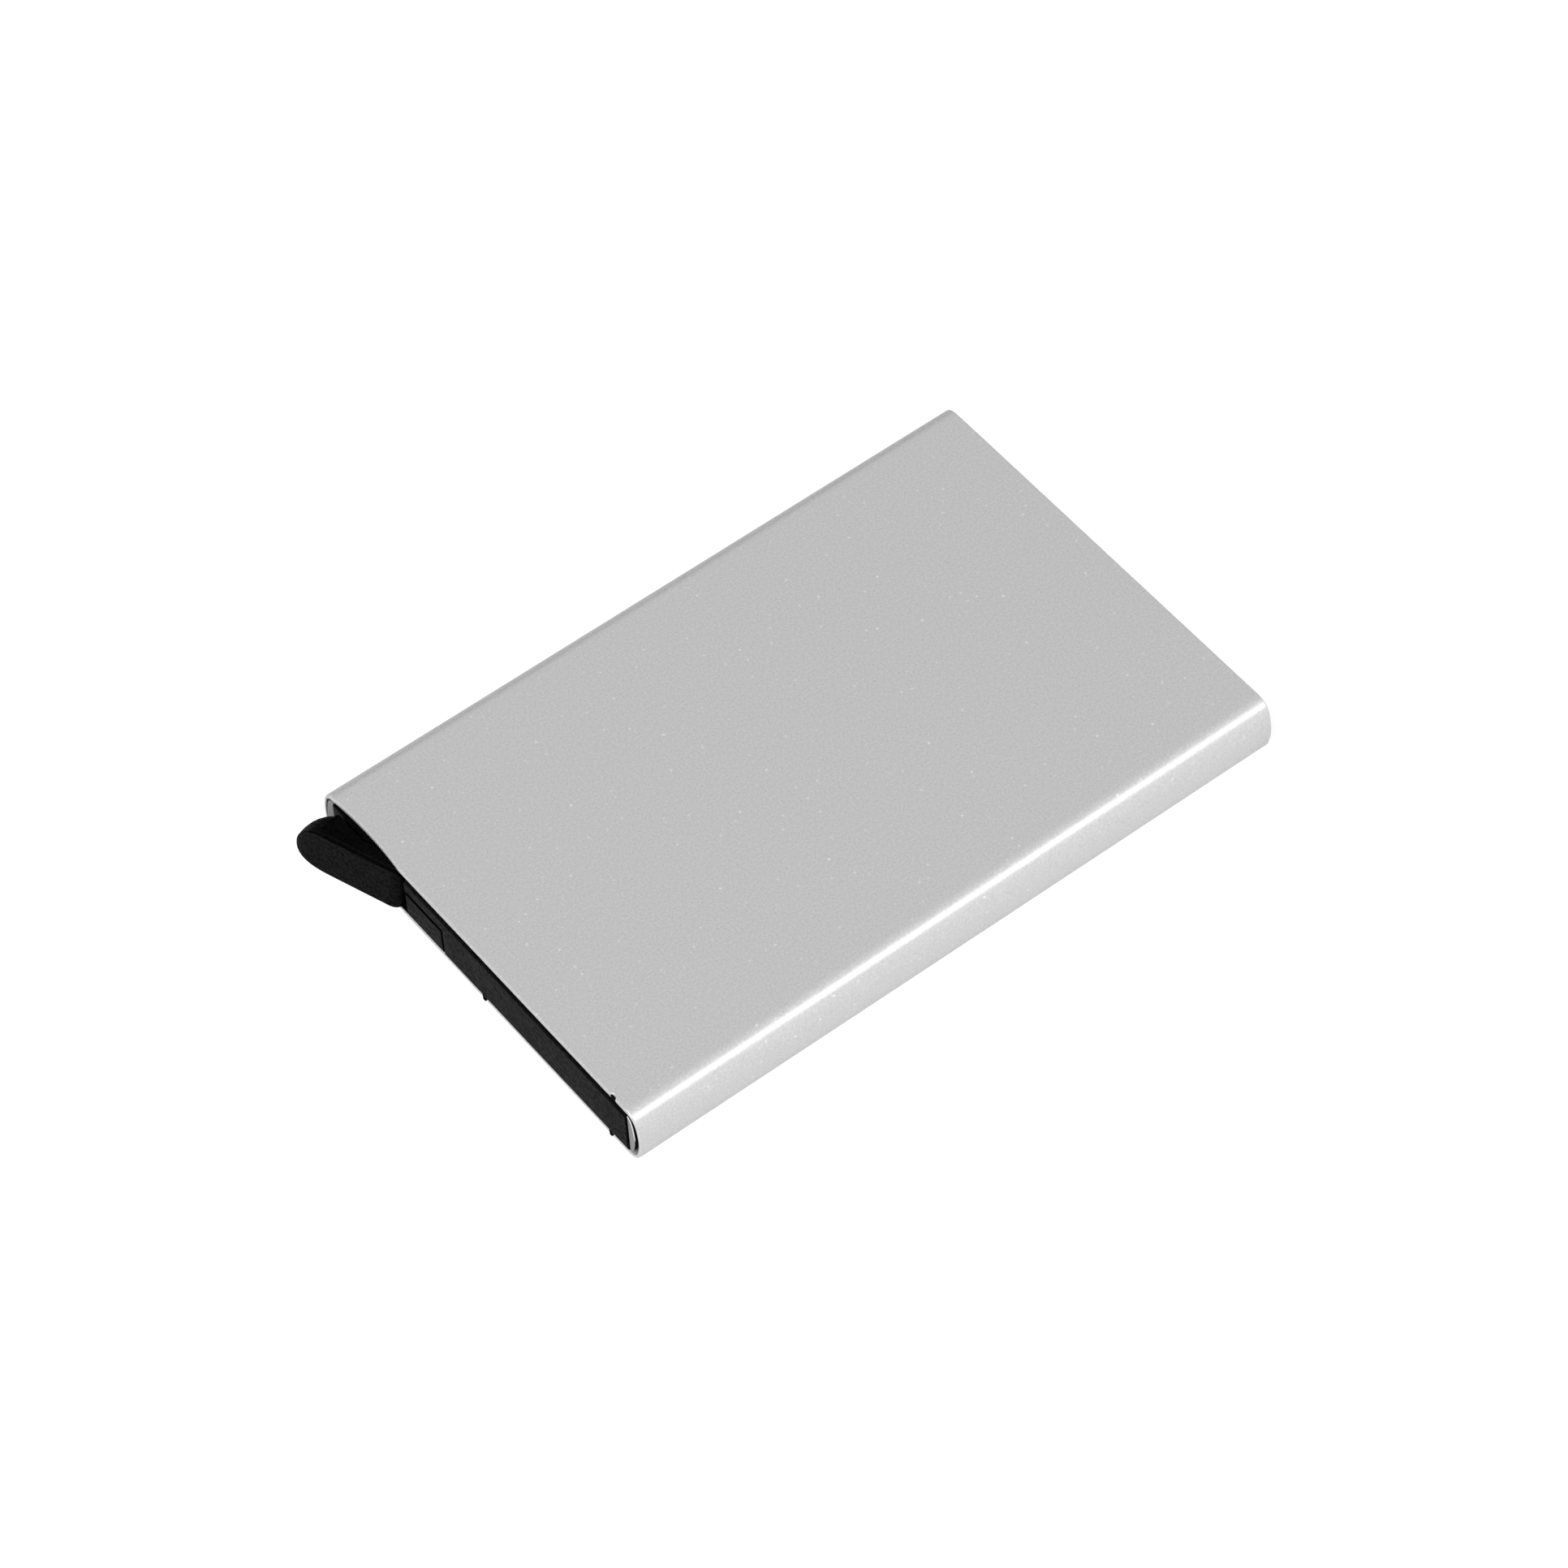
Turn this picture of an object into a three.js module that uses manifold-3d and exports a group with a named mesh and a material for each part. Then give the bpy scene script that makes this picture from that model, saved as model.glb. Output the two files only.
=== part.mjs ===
// Pop-up business card case: an aluminium sleeve with a thumb lever that pushes the cards out in a fan.
// Millimetres, +Z up. The origin is the middle of the sleeve's bottom face, +X points out of the card mouth
// and the lever sits at the -X end, in the +Y corner. Left is +Y, seen from the lever end.

import * as THREE from 'three';
import { mergeVertices } from 'three/addons/utils/BufferGeometryUtils.js';
import Module from 'manifold-3d';

// Sleeve: flat top and bottom, sides of one arc, a bend between them.
const SLEEVE_LENGTH = 95.5;
const SLEEVE_WIDTH = 63;
const SLEEVE_HEIGHT = 9;
const SLEEVE_WALL = 0.7;
const SIDE_WALL = 0.4;
const SIDE_RADIUS = 9.5;
const BEND_RADIUS = 2.3;

// Rails that fill the rounded sides, and the felt on them.
const SIDE_DEPTH = 2.25;
const RAIL_GAP = 0.3;
const RAIL_SIDE_GAP = 0.65;
const RAIL_LEVER_SIDE_GAP = 0.25;
const FELT_THICKNESS = 1.9;
const FELT_HEIGHT = 6;
const FELT_LENGTH = 74;
const FELT_SETBACK = 4;
const FELT_EDGE = 0.4;
const GLUE_LINE = 0.1;

// Plastic plug and bearing block in the lever end.
const CAP_PROUD = 0.25;
const CAP_EDGE = 0.7;
const CAP_DEPTH = 8.4;
const CAP_WALL = 1.4;
const CAP_RIB = 1;
const CAP_POCKETS = 3;
const FIT_GAP = 0.1;
const SIDE_GAP = 0.15;
const BLOCK_SIDE_GAP = 0.35;
const BLOCK_WALL = 1.35;
const EAR_THICKNESS = 1.1;
const EAR_REACH = 5.5;

// Half-round snap nibs, and the notches for them in the sleeve's edge.
const TOP_NIB_WIDTH = 0.85;
const BOTTOM_NIB_WIDTH = 0.5;
const NIB_DEPTH = 0.2;
const NIB_GAP = 0.08;
const NIB_SINK = 0.15;
const TOP_NIB_SETBACK = 2.65;
const BOTTOM_NIB_SETBACK = 3.5;
const BOTTOM_NIB_RISE = 0.36;
const MIDDLE_NIB_Y = -0.85;

// Lever: pivot, hub, stepped arm, tongue and thumb pad.
const PIVOT_INSET = 5;
const PIVOT_FROM_RAIL = 5.25;
const PIN_RADIUS = 1;
const PIN_GAP = 0.05;
const HUB_RADIUS = 3.2;
const HUB_FLOOR = 1.9;
const SWING_GAP = 0.25;
const LEVER_GAP = 0.15;
const ARM_GAP = 0.25;
const ARM_REACH = 30;
const ARM_STEPS = 6;
const ARM_STEP = 3.5;
const ARM_TIP_WIDTH = 3.4;
const TONGUE_REACH = 16.65;
const TONGUE_HEIGHT = 4.45;
const TONGUE_GAP = 0.8;
const TONGUE_END_GAP = 0.5;
const TONGUE_SINK = 0.05;
const GROOVE_WIDTH = 1;
const GROOVE_DEPTH = 0.8;
const GROOVE_SILL = 0.6;
const NECK_WIDTH = 6;

// Thumb pad: a sloping face that leans back a little, with a ledge along its top edge and a round nose.
const PAD_REACH = 8.5;
const PAD_LENGTH = 15.52;
const PAD_FRONT = 0.31;
const PAD_SLOPE = 19.4;
const PAD_LEAN = 0.085;
const PAD_ROOT = 1.6;
const PAD_NOSE = 4.6;
const PAD_TIP = 2.2;
const PAD_TIP_BACK = 0.5;
const PAD_TIP_RISE = 2.3;
const PAD_EDGE = 0.08;
const PAD_LOW_EDGE = 0.5;
const PAD_LEDGE = 0.3;
const PAD_STEP = 0.6;
const PAD_LEDGE_FADE = 0.75;
const PAD_CORNER = 2;
const PAD_CORNER_DEPTH = 1.2;
const PAD_END_HIGH = 1.7;
const PAD_END_LOW = 1.1;
const PAD_GAP = 0.85;
const PAD_FAR_SETBACK = 1.5;
const PAD_FAR_EDGE = 1.3;
const PAD_FAR_FULLNESS = 1.4;

// Shallow arc cut into the sleeve's end at the pad.
const RELIEF_DEPTH = 0.36;
const RELIEF_LEAD = 0.25;

// Return spring: a torsion coil round the pin, with its ends bent along the axis.
const WIRE_RADIUS = 0.2;
const COIL_RADIUS = 1.75;
const COIL_PITCH = 0.86;
const COIL_TURNS = 2.75;
const COIL_GAP = 0.25;
const COIL_CLEARANCE = 0.5;
const LEG_LENGTH = 0.9;
const LEG_HOLE_GAP = 0.15;
const STEPS_PER_TURN = 8;
const WIRE_SIDES = 5;

// Smoothness of the round stretches.
const ARC_STEPS = 6;
const ROUND_STEPS = 12;
const EDGE_STEPS = 3;
const PAD_END_STEPS = 6;
const PAD_NOSE_STEPS = 9;

const wasm = await Module();
wasm.setup();

// Planes and edges that the pieces share.
const leverEnd = -SLEEVE_LENGTH / 2;
const cardEnd = SLEEVE_LENGTH / 2;
const railFace = SLEEVE_WIDTH / 2 - SIDE_DEPTH;
const capEdge = railFace - SIDE_GAP;
const blockSide = railFace - BLOCK_SIDE_GAP;
const capFace = leverEnd - CAP_PROUD;
const capBack = leverEnd + CAP_DEPTH;
const capInside = capFace + CAP_WALL;
const capLow = SLEEVE_WALL + FIT_GAP;
const capHigh = SLEEVE_HEIGHT - capLow;
const pivotX = leverEnd + PIVOT_INSET;
const pivotY = railFace - PIVOT_FROM_RAIL;
const leverLow = SLEEVE_WALL + LEVER_GAP;
const leverHigh = SLEEVE_HEIGHT - leverLow;
const hubLow = capLow + EAR_THICKNESS + SWING_GAP;
const hubHigh = capHigh - EAR_THICKNESS - SWING_GAP;
const hubTop = hubLow + HUB_FLOOR;
const middle = SLEEVE_HEIGHT / 2;
const past = 1;

// Geometry to solid and back: a solid needs shared corners, so only positions are kept.
function solidOf(geometry) {
  geometry.deleteAttribute('normal');
  geometry.deleteAttribute('uv');
  const merged = mergeVertices(geometry, 1e-5);
  return new wasm.Manifold(new wasm.Mesh({
    numProp: 3,
    vertProperties: new Float32Array(merged.attributes.position.array),
    triVerts: new Uint32Array(merged.index.array),
  }));
}

function geometryOf(solid) {
  const mesh = solid.getMesh();
  const geometry = new THREE.BufferGeometry();
  geometry.setAttribute('position', new THREE.BufferAttribute(mesh.vertProperties, 3));
  geometry.setIndex(new THREE.BufferAttribute(mesh.triVerts, 1));
  geometry.computeVertexNormals();
  return geometry;
}

// A plan outline raised from one height to another.
function plate(shape, low, high, arcSteps = ARC_STEPS) {
  const geometry = new THREE.ExtrudeGeometry(shape, {
    depth: high - low,
    bevelEnabled: false,
    curveSegments: arcSteps,
  });
  geometry.translate(0, 0, low);
  return solidOf(geometry);
}

// An upright section run along a level line: the section's x lies along `across`, its y is up.
function run(shape, across, origin, start, end, arcSteps = ARC_STEPS) {
  const geometry = new THREE.ExtrudeGeometry(shape, {
    depth: end - start,
    bevelEnabled: false,
    curveSegments: arcSteps,
  });
  const up = new THREE.Vector3(0, 0, 1);
  const along = across.clone().cross(up);
  geometry.translate(0, 0, start);
  geometry.applyMatrix4(new THREE.Matrix4().makeBasis(across, up, along));
  geometry.translate(origin.x, origin.y, 0);
  return solidOf(geometry);
}

const alongX = new THREE.Vector3(1, 0, 0);
const alongY = new THREE.Vector3(0, 1, 0);
const centre = new THREE.Vector2(0, 0);

// A section drawn in Y and Z, run along X.
function bar(shape, start, end) {
  return run(shape, alongY, centre, start, end);
}

// A section drawn in X and Z, run along Y.
function beam(shape, start, end) {
  return run(shape, alongX, centre, -end, -start);
}

function box(x0, x1, y0, y1, z0, z1) {
  const geometry = new THREE.BoxGeometry(x1 - x0, y1 - y0, z1 - z0);
  geometry.translate((x0 + x1) / 2, (y0 + y1) / 2, (z0 + z1) / 2);
  return solidOf(geometry);
}

function disc(x, y, radius, low, high, arcSteps = ROUND_STEPS) {
  const circle = new THREE.Shape();
  circle.absarc(x, y, radius, 0, 2 * Math.PI);
  return plate(circle, low, high, arcSteps);
}

function polygon(points) {
  return new THREE.Shape(points.map(([x, y]) => new THREE.Vector2(x, y)));
}

function joined(solids) {
  return solids.reduce((whole, solid) => whole.add(solid));
}

// Outline of the sleeve's section, moved in by an inset; the sides move in by their own.
function sleeveSection(inset, sideInset) {
  const arcY = SLEEVE_WIDTH / 2 - SIDE_RADIUS + inset - sideInset;
  const arcZ = middle;
  const bendRise = arcZ - BEND_RADIUS;
  const bendY = arcY + Math.sqrt((SIDE_RADIUS - BEND_RADIUS) ** 2 - bendRise ** 2);
  const turn = Math.atan2(bendRise, bendY - arcY);
  const bend = BEND_RADIUS - inset;
  const side = SIDE_RADIUS - inset;
  const low = BEND_RADIUS;
  const high = SLEEVE_HEIGHT - BEND_RADIUS;
  const half = Math.PI / 2;
  const shape = new THREE.Shape();
  shape.moveTo(-bendY, inset);
  shape.lineTo(bendY, inset);
  shape.absarc(bendY, low, bend, -half, -turn);
  shape.absarc(arcY, arcZ, side, -turn, turn);
  shape.absarc(bendY, high, bend, turn, half);
  shape.lineTo(-bendY, SLEEVE_HEIGHT - inset);
  shape.absarc(-bendY, high, bend, half, 2 * half - turn);
  shape.absarc(-arcY, arcZ, side, 2 * half - turn, 2 * half + turn);
  shape.absarc(-bendY, low, bend, 2 * half + turn, 3 * half);
  return shape;
}

// Snap nib in plan: half round inside the sleeve's edge; its notch is wider by a gap and open at the end.
function nibPlan(y, width, gap, front) {
  const half = width / 2 + gap;
  const shape = new THREE.Shape();
  shape.moveTo(front, y - half);
  shape.lineTo(leverEnd, y - half);
  shape.absellipse(leverEnd, y, NIB_DEPTH + gap, half, -Math.PI / 2, Math.PI / 2);
  shape.lineTo(front, y + half);
  return shape;
}

const topNibY = railFace - TOP_NIB_SETBACK;
const bottomNibY = railFace - BOTTOM_NIB_SETBACK;

function topNib(y) {
  return plate(nibPlan(y, TOP_NIB_WIDTH, 0, leverEnd), capHigh - EAR_THICKNESS / 2, SLEEVE_HEIGHT - NIB_SINK);
}

function bottomNib(y) {
  return plate(nibPlan(y, BOTTOM_NIB_WIDTH, 0, capFace), BOTTOM_NIB_RISE, capLow + EAR_THICKNESS / 2);
}

function topNotch(y) {
  return plate(nibPlan(y, TOP_NIB_WIDTH, NIB_GAP, leverEnd - past), middle, SLEEVE_HEIGHT + past);
}

function bottomNotch(y) {
  return plate(nibPlan(y, BOTTOM_NIB_WIDTH, NIB_GAP, leverEnd - past), -past, middle);
}

// Upright section of a moulding behind the cap's face, with the face's edges rounded.
function faceSection(face, back, low, high, lowEdge, highEdge) {
  const shape = new THREE.Shape();
  shape.moveTo(back, low);
  shape.lineTo(back, high);
  shape.lineTo(face + highEdge, high);
  if (highEdge > 0) shape.absarc(face + highEdge, high - highEdge, highEdge, Math.PI / 2, Math.PI);
  shape.lineTo(face, low + lowEdge);
  shape.absarc(face + lowEdge, low + lowEdge, lowEdge, Math.PI, 1.5 * Math.PI);
  return shape;
}

// Thumb pad. Its face is a plane square to `inward`, and its length runs along `toTip`.
const slope = THREE.MathUtils.degToRad(PAD_SLOPE);
const inward = new THREE.Vector2(Math.cos(slope), Math.sin(slope));
const toTip = new THREE.Vector2(-Math.sin(slope), Math.cos(slope));
const padRight = pivotY - PAD_REACH;
const padStart = new THREE.Vector2(leverEnd - PAD_FRONT, padRight);
const padBackX = capFace - SWING_GAP;
const padFar = new THREE.Vector2(padBackX, railFace - PAD_FAR_SETBACK).sub(padStart);

// How far a rounded end has fallen away, at a distance from where it begins.
function roundedOff(distance, length, fall) {
  const share = Math.max(0, distance) / length;
  return fall * (1 - Math.sqrt(1 - share ** 2));
}

// A closed outline with its corners rounded; every outline has as many points.
function roundedRing(corners) {
  const points = [];
  corners.forEach(([x, y, radius], index) => {
    const corner = new THREE.Vector2(x, y);
    const before = new THREE.Vector2(...corners.at(index - 1)).sub(corner);
    const after = new THREE.Vector2(...corners.at((index + 1) % corners.length)).sub(corner);
    const start = corner.clone().addScaledVector(before, Math.min(radius / before.length(), 0.45));
    const end = corner.clone().addScaledVector(after, Math.min(radius / after.length(), 0.45));
    points.push(...new THREE.QuadraticBezierCurve(start, corner, end).getPoints(EDGE_STEPS));
  });
  return points;
}

// The pad cut square to its length: x goes in from the face, y up. The ledge dies out along the nose.
function padRing(along) {
  const noseAt = along - PAD_LENGTH + PAD_NOSE;
  const highEnd = roundedOff(PAD_END_HIGH - along, PAD_END_HIGH, PAD_END_HIGH);
  const lowEnd = roundedOff(PAD_END_LOW - along, PAD_END_LOW, PAD_END_LOW);
  const high = leverHigh - highEnd - roundedOff(noseAt, PAD_NOSE, leverHigh - leverLow - PAD_TIP_RISE);
  const low = leverLow + lowEnd + roundedOff(noseAt, PAD_NOSE, PAD_TIP_RISE);
  const tipBack = roundedOff(along - PAD_LENGTH + PAD_TIP, PAD_TIP, PAD_TIP_BACK);
  const setback = tipBack + roundedOff(PAD_CORNER - along, PAD_CORNER, PAD_CORNER_DEPTH);
  const front = (z) => setback + PAD_LEAN * (z - middle);
  const farStart = padFar.dot(toTip);
  const farShare = Math.max(0, along - farStart) / (PAD_LENGTH - farStart);
  const farLeft = (1 - farShare ** PAD_FAR_FULLNESS) ** (1 / PAD_FAR_FULLNESS);
  const farSide = PAD_TIP_BACK + (padFar.dot(inward) - PAD_TIP_BACK) * farLeft;
  const rootSide = (capFace + PAD_ROOT - padStart.x + along * Math.sin(slope)) / Math.cos(slope);
  const back = along < farStart ? rootSide : farSide;
  const ledge = Math.max(0.05, 1 - Math.max(0, noseAt) / (PAD_NOSE * PAD_LEDGE_FADE));
  const lip = high - PAD_STEP * ledge;
  const ledgeBack = front(lip) + PAD_LEDGE * ledge;
  return roundedRing([
    [front(low), low, PAD_LOW_EDGE],
    [back, low, PAD_FAR_EDGE],
    [back, high, PAD_FAR_EDGE],
    [ledgeBack, high, PAD_EDGE],
    [ledgeBack, lip, PAD_EDGE / 2],
    [front(lip), lip, PAD_EDGE],
  ]);
}

function padStations() {
  const stations = [padFar.dot(toTip)];
  for (let step = 0; step <= PAD_END_STEPS; step += 1) {
    stations.push(PAD_END_HIGH * (1 - Math.cos((Math.PI / 2) * (step / PAD_END_STEPS))));
  }
  for (let step = 0; step < PAD_NOSE_STEPS; step += 1) {
    const turn = (Math.PI / 2) * (step / (PAD_NOSE_STEPS - 0.5));
    stations.push(PAD_LENGTH - PAD_NOSE * (1 - Math.sin(turn)));
  }
  return stations.sort((first, second) => first - second);
}

function padSolid() {
  const rings = padStations().map((along) => ({ along, points: padRing(along) }));
  const count = rings[0].points.length;
  const positions = [];
  const index = [];
  rings.forEach(({ along, points }, ring) => {
    points.forEach((point, corner) => {
      const place = padStart.clone().addScaledVector(toTip, along).addScaledVector(inward, point.x);
      positions.push(place.x, place.y, point.y);
      const here = ring * count + corner;
      const beside = ring * count + ((corner + 1) % count);
      if (ring < rings.length - 1) {
        index.push(here, here + count, beside + count, here, beside + count, beside);
      }
    });
  });
  const last = (rings.length - 1) * count;
  THREE.ShapeUtils.triangulateShape(rings[0].points, []).forEach(([a, b, c]) => index.push(a, b, c));
  THREE.ShapeUtils.triangulateShape(rings.at(-1).points, []).forEach(([a, b, c]) => {
    index.push(last + a, last + c, last + b);
  });
  const geometry = new THREE.BufferGeometry();
  geometry.setAttribute('position', new THREE.Float32BufferAttribute(positions, 3));
  geometry.setIndex(index);
  const behind = box(padBackX, pivotX + past, pivotY, SLEEVE_WIDTH, -past, SLEEVE_HEIGHT + past);
  return solidOf(geometry).subtract(behind);
}

// Stepped arm: each layer up is one step shorter, so each card is pushed a little less far.
const tongueEnd = pivotY - TONGUE_REACH;
const tongueTop = leverLow + TONGUE_HEIGHT;
const armFront = capBack - ARM_GAP;
const armBack = capInside + ARM_GAP;

function armLayer(reach) {
  const tipY = pivotY - ARM_REACH;
  const endY = pivotY - reach;
  const share = Math.max(0, (tongueEnd - endY) / (tongueEnd - tipY));
  const endBack = armBack + share * (armFront - ARM_TIP_WIDTH - armBack);
  return polygon([
    [armBack, pivotY],
    [armBack, Math.max(tongueEnd, endY)],
    [endBack, endY],
    [armFront, endY],
    [armFront, pivotY],
  ]);
}

function armSolid() {
  const layerHeight = (leverHigh - leverLow) / ARM_STEPS;
  const layers = [];
  for (let step = 0; step < ARM_STEPS; step += 1) {
    const reach = ARM_REACH - step * ARM_STEP;
    layers.push(plate(armLayer(reach), leverLow, leverLow + (step + 1) * layerHeight));
  }
  return joined(layers);
}

// Space that the bearing block's ears take from the lever, at one side of the hub.
function earPlan(gap) {
  const reach = EAR_REACH + gap;
  const circle = new THREE.Shape();
  circle.absarc(pivotX, pivotY, reach, 0, 2 * Math.PI);
  return { circle, reach };
}

function earSolid(low, high, gap) {
  const { circle, reach } = earPlan(gap);
  const strap = box(pivotX - reach, capBack + gap, pivotY, blockSide + gap, low, high);
  const bounds = box(capFace - gap, capBack + gap, pivotY - reach, blockSide + gap, low, high);
  return plate(circle, low, high, ROUND_STEPS).add(strap).intersect(bounds);
}

function springSeat() {
  return disc(pivotX, pivotY, COIL_RADIUS + WIRE_RADIUS + COIL_CLEARANCE, hubTop, leverHigh + past);
}

// Spring: a helix between two ends that are bent along the axis.
const coilLow = hubTop + WIRE_RADIUS + COIL_GAP;
const coilHigh = coilLow + COIL_TURNS * COIL_PITCH;
const coilEndTurn = 2 * Math.PI * COIL_TURNS;

function coilPoint(turn, height) {
  return new THREE.Vector3(COIL_RADIUS * Math.cos(turn), COIL_RADIUS * Math.sin(turn), height);
}

function springPath() {
  const points = [];
  points.push(coilPoint(0, coilLow - LEG_LENGTH));
  points.push(coilPoint(0, coilLow - LEG_LENGTH / 2));
  const steps = Math.round(COIL_TURNS * STEPS_PER_TURN);
  for (let step = 0; step <= steps; step += 1) {
    const share = step / steps;
    points.push(coilPoint(share * coilEndTurn, coilLow + share * (coilHigh - coilLow)));
  }
  points.push(coilPoint(coilEndTurn, coilHigh + LEG_LENGTH / 2));
  points.push(coilPoint(coilEndTurn, coilHigh + LEG_LENGTH));
  return points;
}

function leastSelfGap(points) {
  let least = Infinity;
  for (let first = 0; first < points.length; first += 1) {
    for (let second = first + STEPS_PER_TURN / 2; second < points.length; second += 1) {
      least = Math.min(least, points[first].distanceTo(points[second]));
    }
  }
  return least - 2 * WIRE_RADIUS;
}

function springGeometry() {
  const points = springPath();
  console.log(`return spring, least gap to itself: ${leastSelfGap(points).toFixed(2)} mm`);
  const wire = new THREE.Shape();
  for (let side = 0; side < WIRE_SIDES; side += 1) {
    const angle = (2 * Math.PI * side) / WIRE_SIDES;
    const x = WIRE_RADIUS * Math.cos(angle);
    const y = WIRE_RADIUS * Math.sin(angle);
    if (side === 0) wire.moveTo(x, y);
    else wire.lineTo(x, y);
  }
  const path = new THREE.CatmullRomCurve3(points);
  const steps = points.length - 1;
  return new THREE.ExtrudeGeometry(wire, { steps, bevelEnabled: false, extrudePath: path });
}

function legHole(turn, low, high) {
  const end = coilPoint(turn, 0);
  return disc(pivotX + end.x, pivotY + end.y, WIRE_RADIUS + LEG_HOLE_GAP, low, high, ARC_STEPS);
}

// Sleeve.
function makeSleeve() {
  const outside = bar(sleeveSection(0, 0), leverEnd, cardEnd);
  const inside = bar(sleeveSection(SLEEVE_WALL, SIDE_WALL), leverEnd - past, cardEnd + past);
  const reliefStart = padRight - RELIEF_LEAD;
  const reliefEnd = railFace;
  const halfChord = (reliefEnd - reliefStart) / 2;
  const reliefRadius = (halfChord ** 2 + RELIEF_DEPTH ** 2) / (2 * RELIEF_DEPTH);
  const reliefX = leverEnd + RELIEF_DEPTH - reliefRadius;
  const reliefTurn = Math.asin(halfChord / reliefRadius);
  const relief = new THREE.Shape();
  relief.moveTo(leverEnd - past, reliefStart);
  relief.absarc(reliefX, (reliefStart + reliefEnd) / 2, reliefRadius, -reliefTurn, reliefTurn);
  relief.lineTo(leverEnd - past, reliefEnd);
  const cuts = [
    inside,
    plate(relief, -past, SLEEVE_HEIGHT + past),
    topNotch(-topNibY),
    bottomNotch(bottomNibY),
    bottomNotch(-bottomNibY),
    bottomNotch(MIDDLE_NIB_Y),
  ];
  return cuts.reduce((solid, cut) => solid.subtract(cut), outside);
}

// Rail: the part of the sleeve's inner section beyond the rail's flat face.
function makeRail(side) {
  const sideGap = side > 0 ? RAIL_LEVER_SIDE_GAP : RAIL_SIDE_GAP;
  const section = sleeveSection(SLEEVE_WALL + RAIL_GAP, SIDE_WALL + sideGap);
  const filling = bar(section, leverEnd, cardEnd);
  const reach = SLEEVE_WIDTH;
  const near = side > 0 ? railFace : -reach;
  const far = side > 0 ? reach : -railFace;
  return filling.intersect(box(leverEnd - past, cardEnd + past, near, far, -past, SLEEVE_HEIGHT + past));
}

// Felt strip: a flat strip with softened corners, glued to the rail's flat face.
function makeFelt(side) {
  const outer = railFace - GLUE_LINE;
  const inner = outer - FELT_THICKNESS;
  const low = (SLEEVE_HEIGHT - FELT_HEIGHT) / 2;
  const high = low + FELT_HEIGHT;
  const shape = polygon([
    [side * outer, low],
    [side * (inner + FELT_EDGE), low],
    [side * inner, low + FELT_EDGE],
    [side * inner, high - FELT_EDGE],
    [side * (inner + FELT_EDGE), high],
    [side * outer, high],
  ]);
  const end = cardEnd - FELT_SETBACK;
  return bar(shape, end - FELT_LENGTH, end);
}

// End cap: a front wall along the end, and a cored block that the cards stand on.
function makeEndCap() {
  const blockEdge = pivotY - Math.hypot(ARM_REACH, PIVOT_INSET) - SWING_GAP;
  const wall = beam(faceSection(capFace, capInside, capLow, capHigh, CAP_EDGE, CAP_EDGE), -capEdge, pivotY);
  const block = beam(faceSection(capFace, capBack, capLow, capHigh, CAP_EDGE, CAP_EDGE), -capEdge, blockEdge);
  const bays = blockEdge + capEdge - 2 * CAP_WALL;
  const bay = (bays - (CAP_POCKETS - 1) * CAP_RIB) / CAP_POCKETS;
  const cuts = [];
  for (let pocket = 0; pocket < CAP_POCKETS; pocket += 1) {
    const start = -capEdge + CAP_WALL + pocket * (bay + CAP_RIB);
    const low = capLow + EAR_THICKNESS;
    const high = capHigh - EAR_THICKNESS;
    cuts.push(box(capInside, capBack + past, start, start + bay, low, high));
  }
  const padSwing = Math.hypot(pivotX - padStart.x, PAD_REACH) + PAD_GAP;
  const tongueSwing = Math.hypot(pivotX - capFace, TONGUE_REACH) + TONGUE_END_GAP;
  cuts.push(disc(pivotX, pivotY, padSwing, capLow - past, capHigh + past));
  cuts.push(disc(pivotX, pivotY, tongueSwing, capLow - past, tongueTop + TONGUE_GAP));
  const nibs = [topNib(-topNibY), bottomNib(-bottomNibY), bottomNib(MIDDLE_NIB_Y)];
  return joined([cuts.reduce((solid, cut) => solid.subtract(cut), wall.add(block)), ...nibs]);
}

// Bearing block: a side wall with two ears that hold the pin above and below the lever's hub.
function makePivotBlock() {
  const section = faceSection(capFace, capBack, capLow, capHigh, CAP_EDGE, CAP_EDGE);
  const wall = beam(section, blockSide - BLOCK_WALL, blockSide);
  const lowerEar = earSolid(capLow, capLow + EAR_THICKNESS, 0);
  const upperEar = earSolid(capHigh - EAR_THICKNESS, capHigh, 0);
  const pinHole = disc(pivotX, pivotY, PIN_RADIUS + PIN_GAP, -past, SLEEVE_HEIGHT + past);
  const solid = joined([wall, lowerEar, upperEar, bottomNib(bottomNibY)]);
  return solid.subtract(pinHole).subtract(legHole(coilEndTurn, hubHigh, capHigh - FIT_GAP));
}

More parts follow.
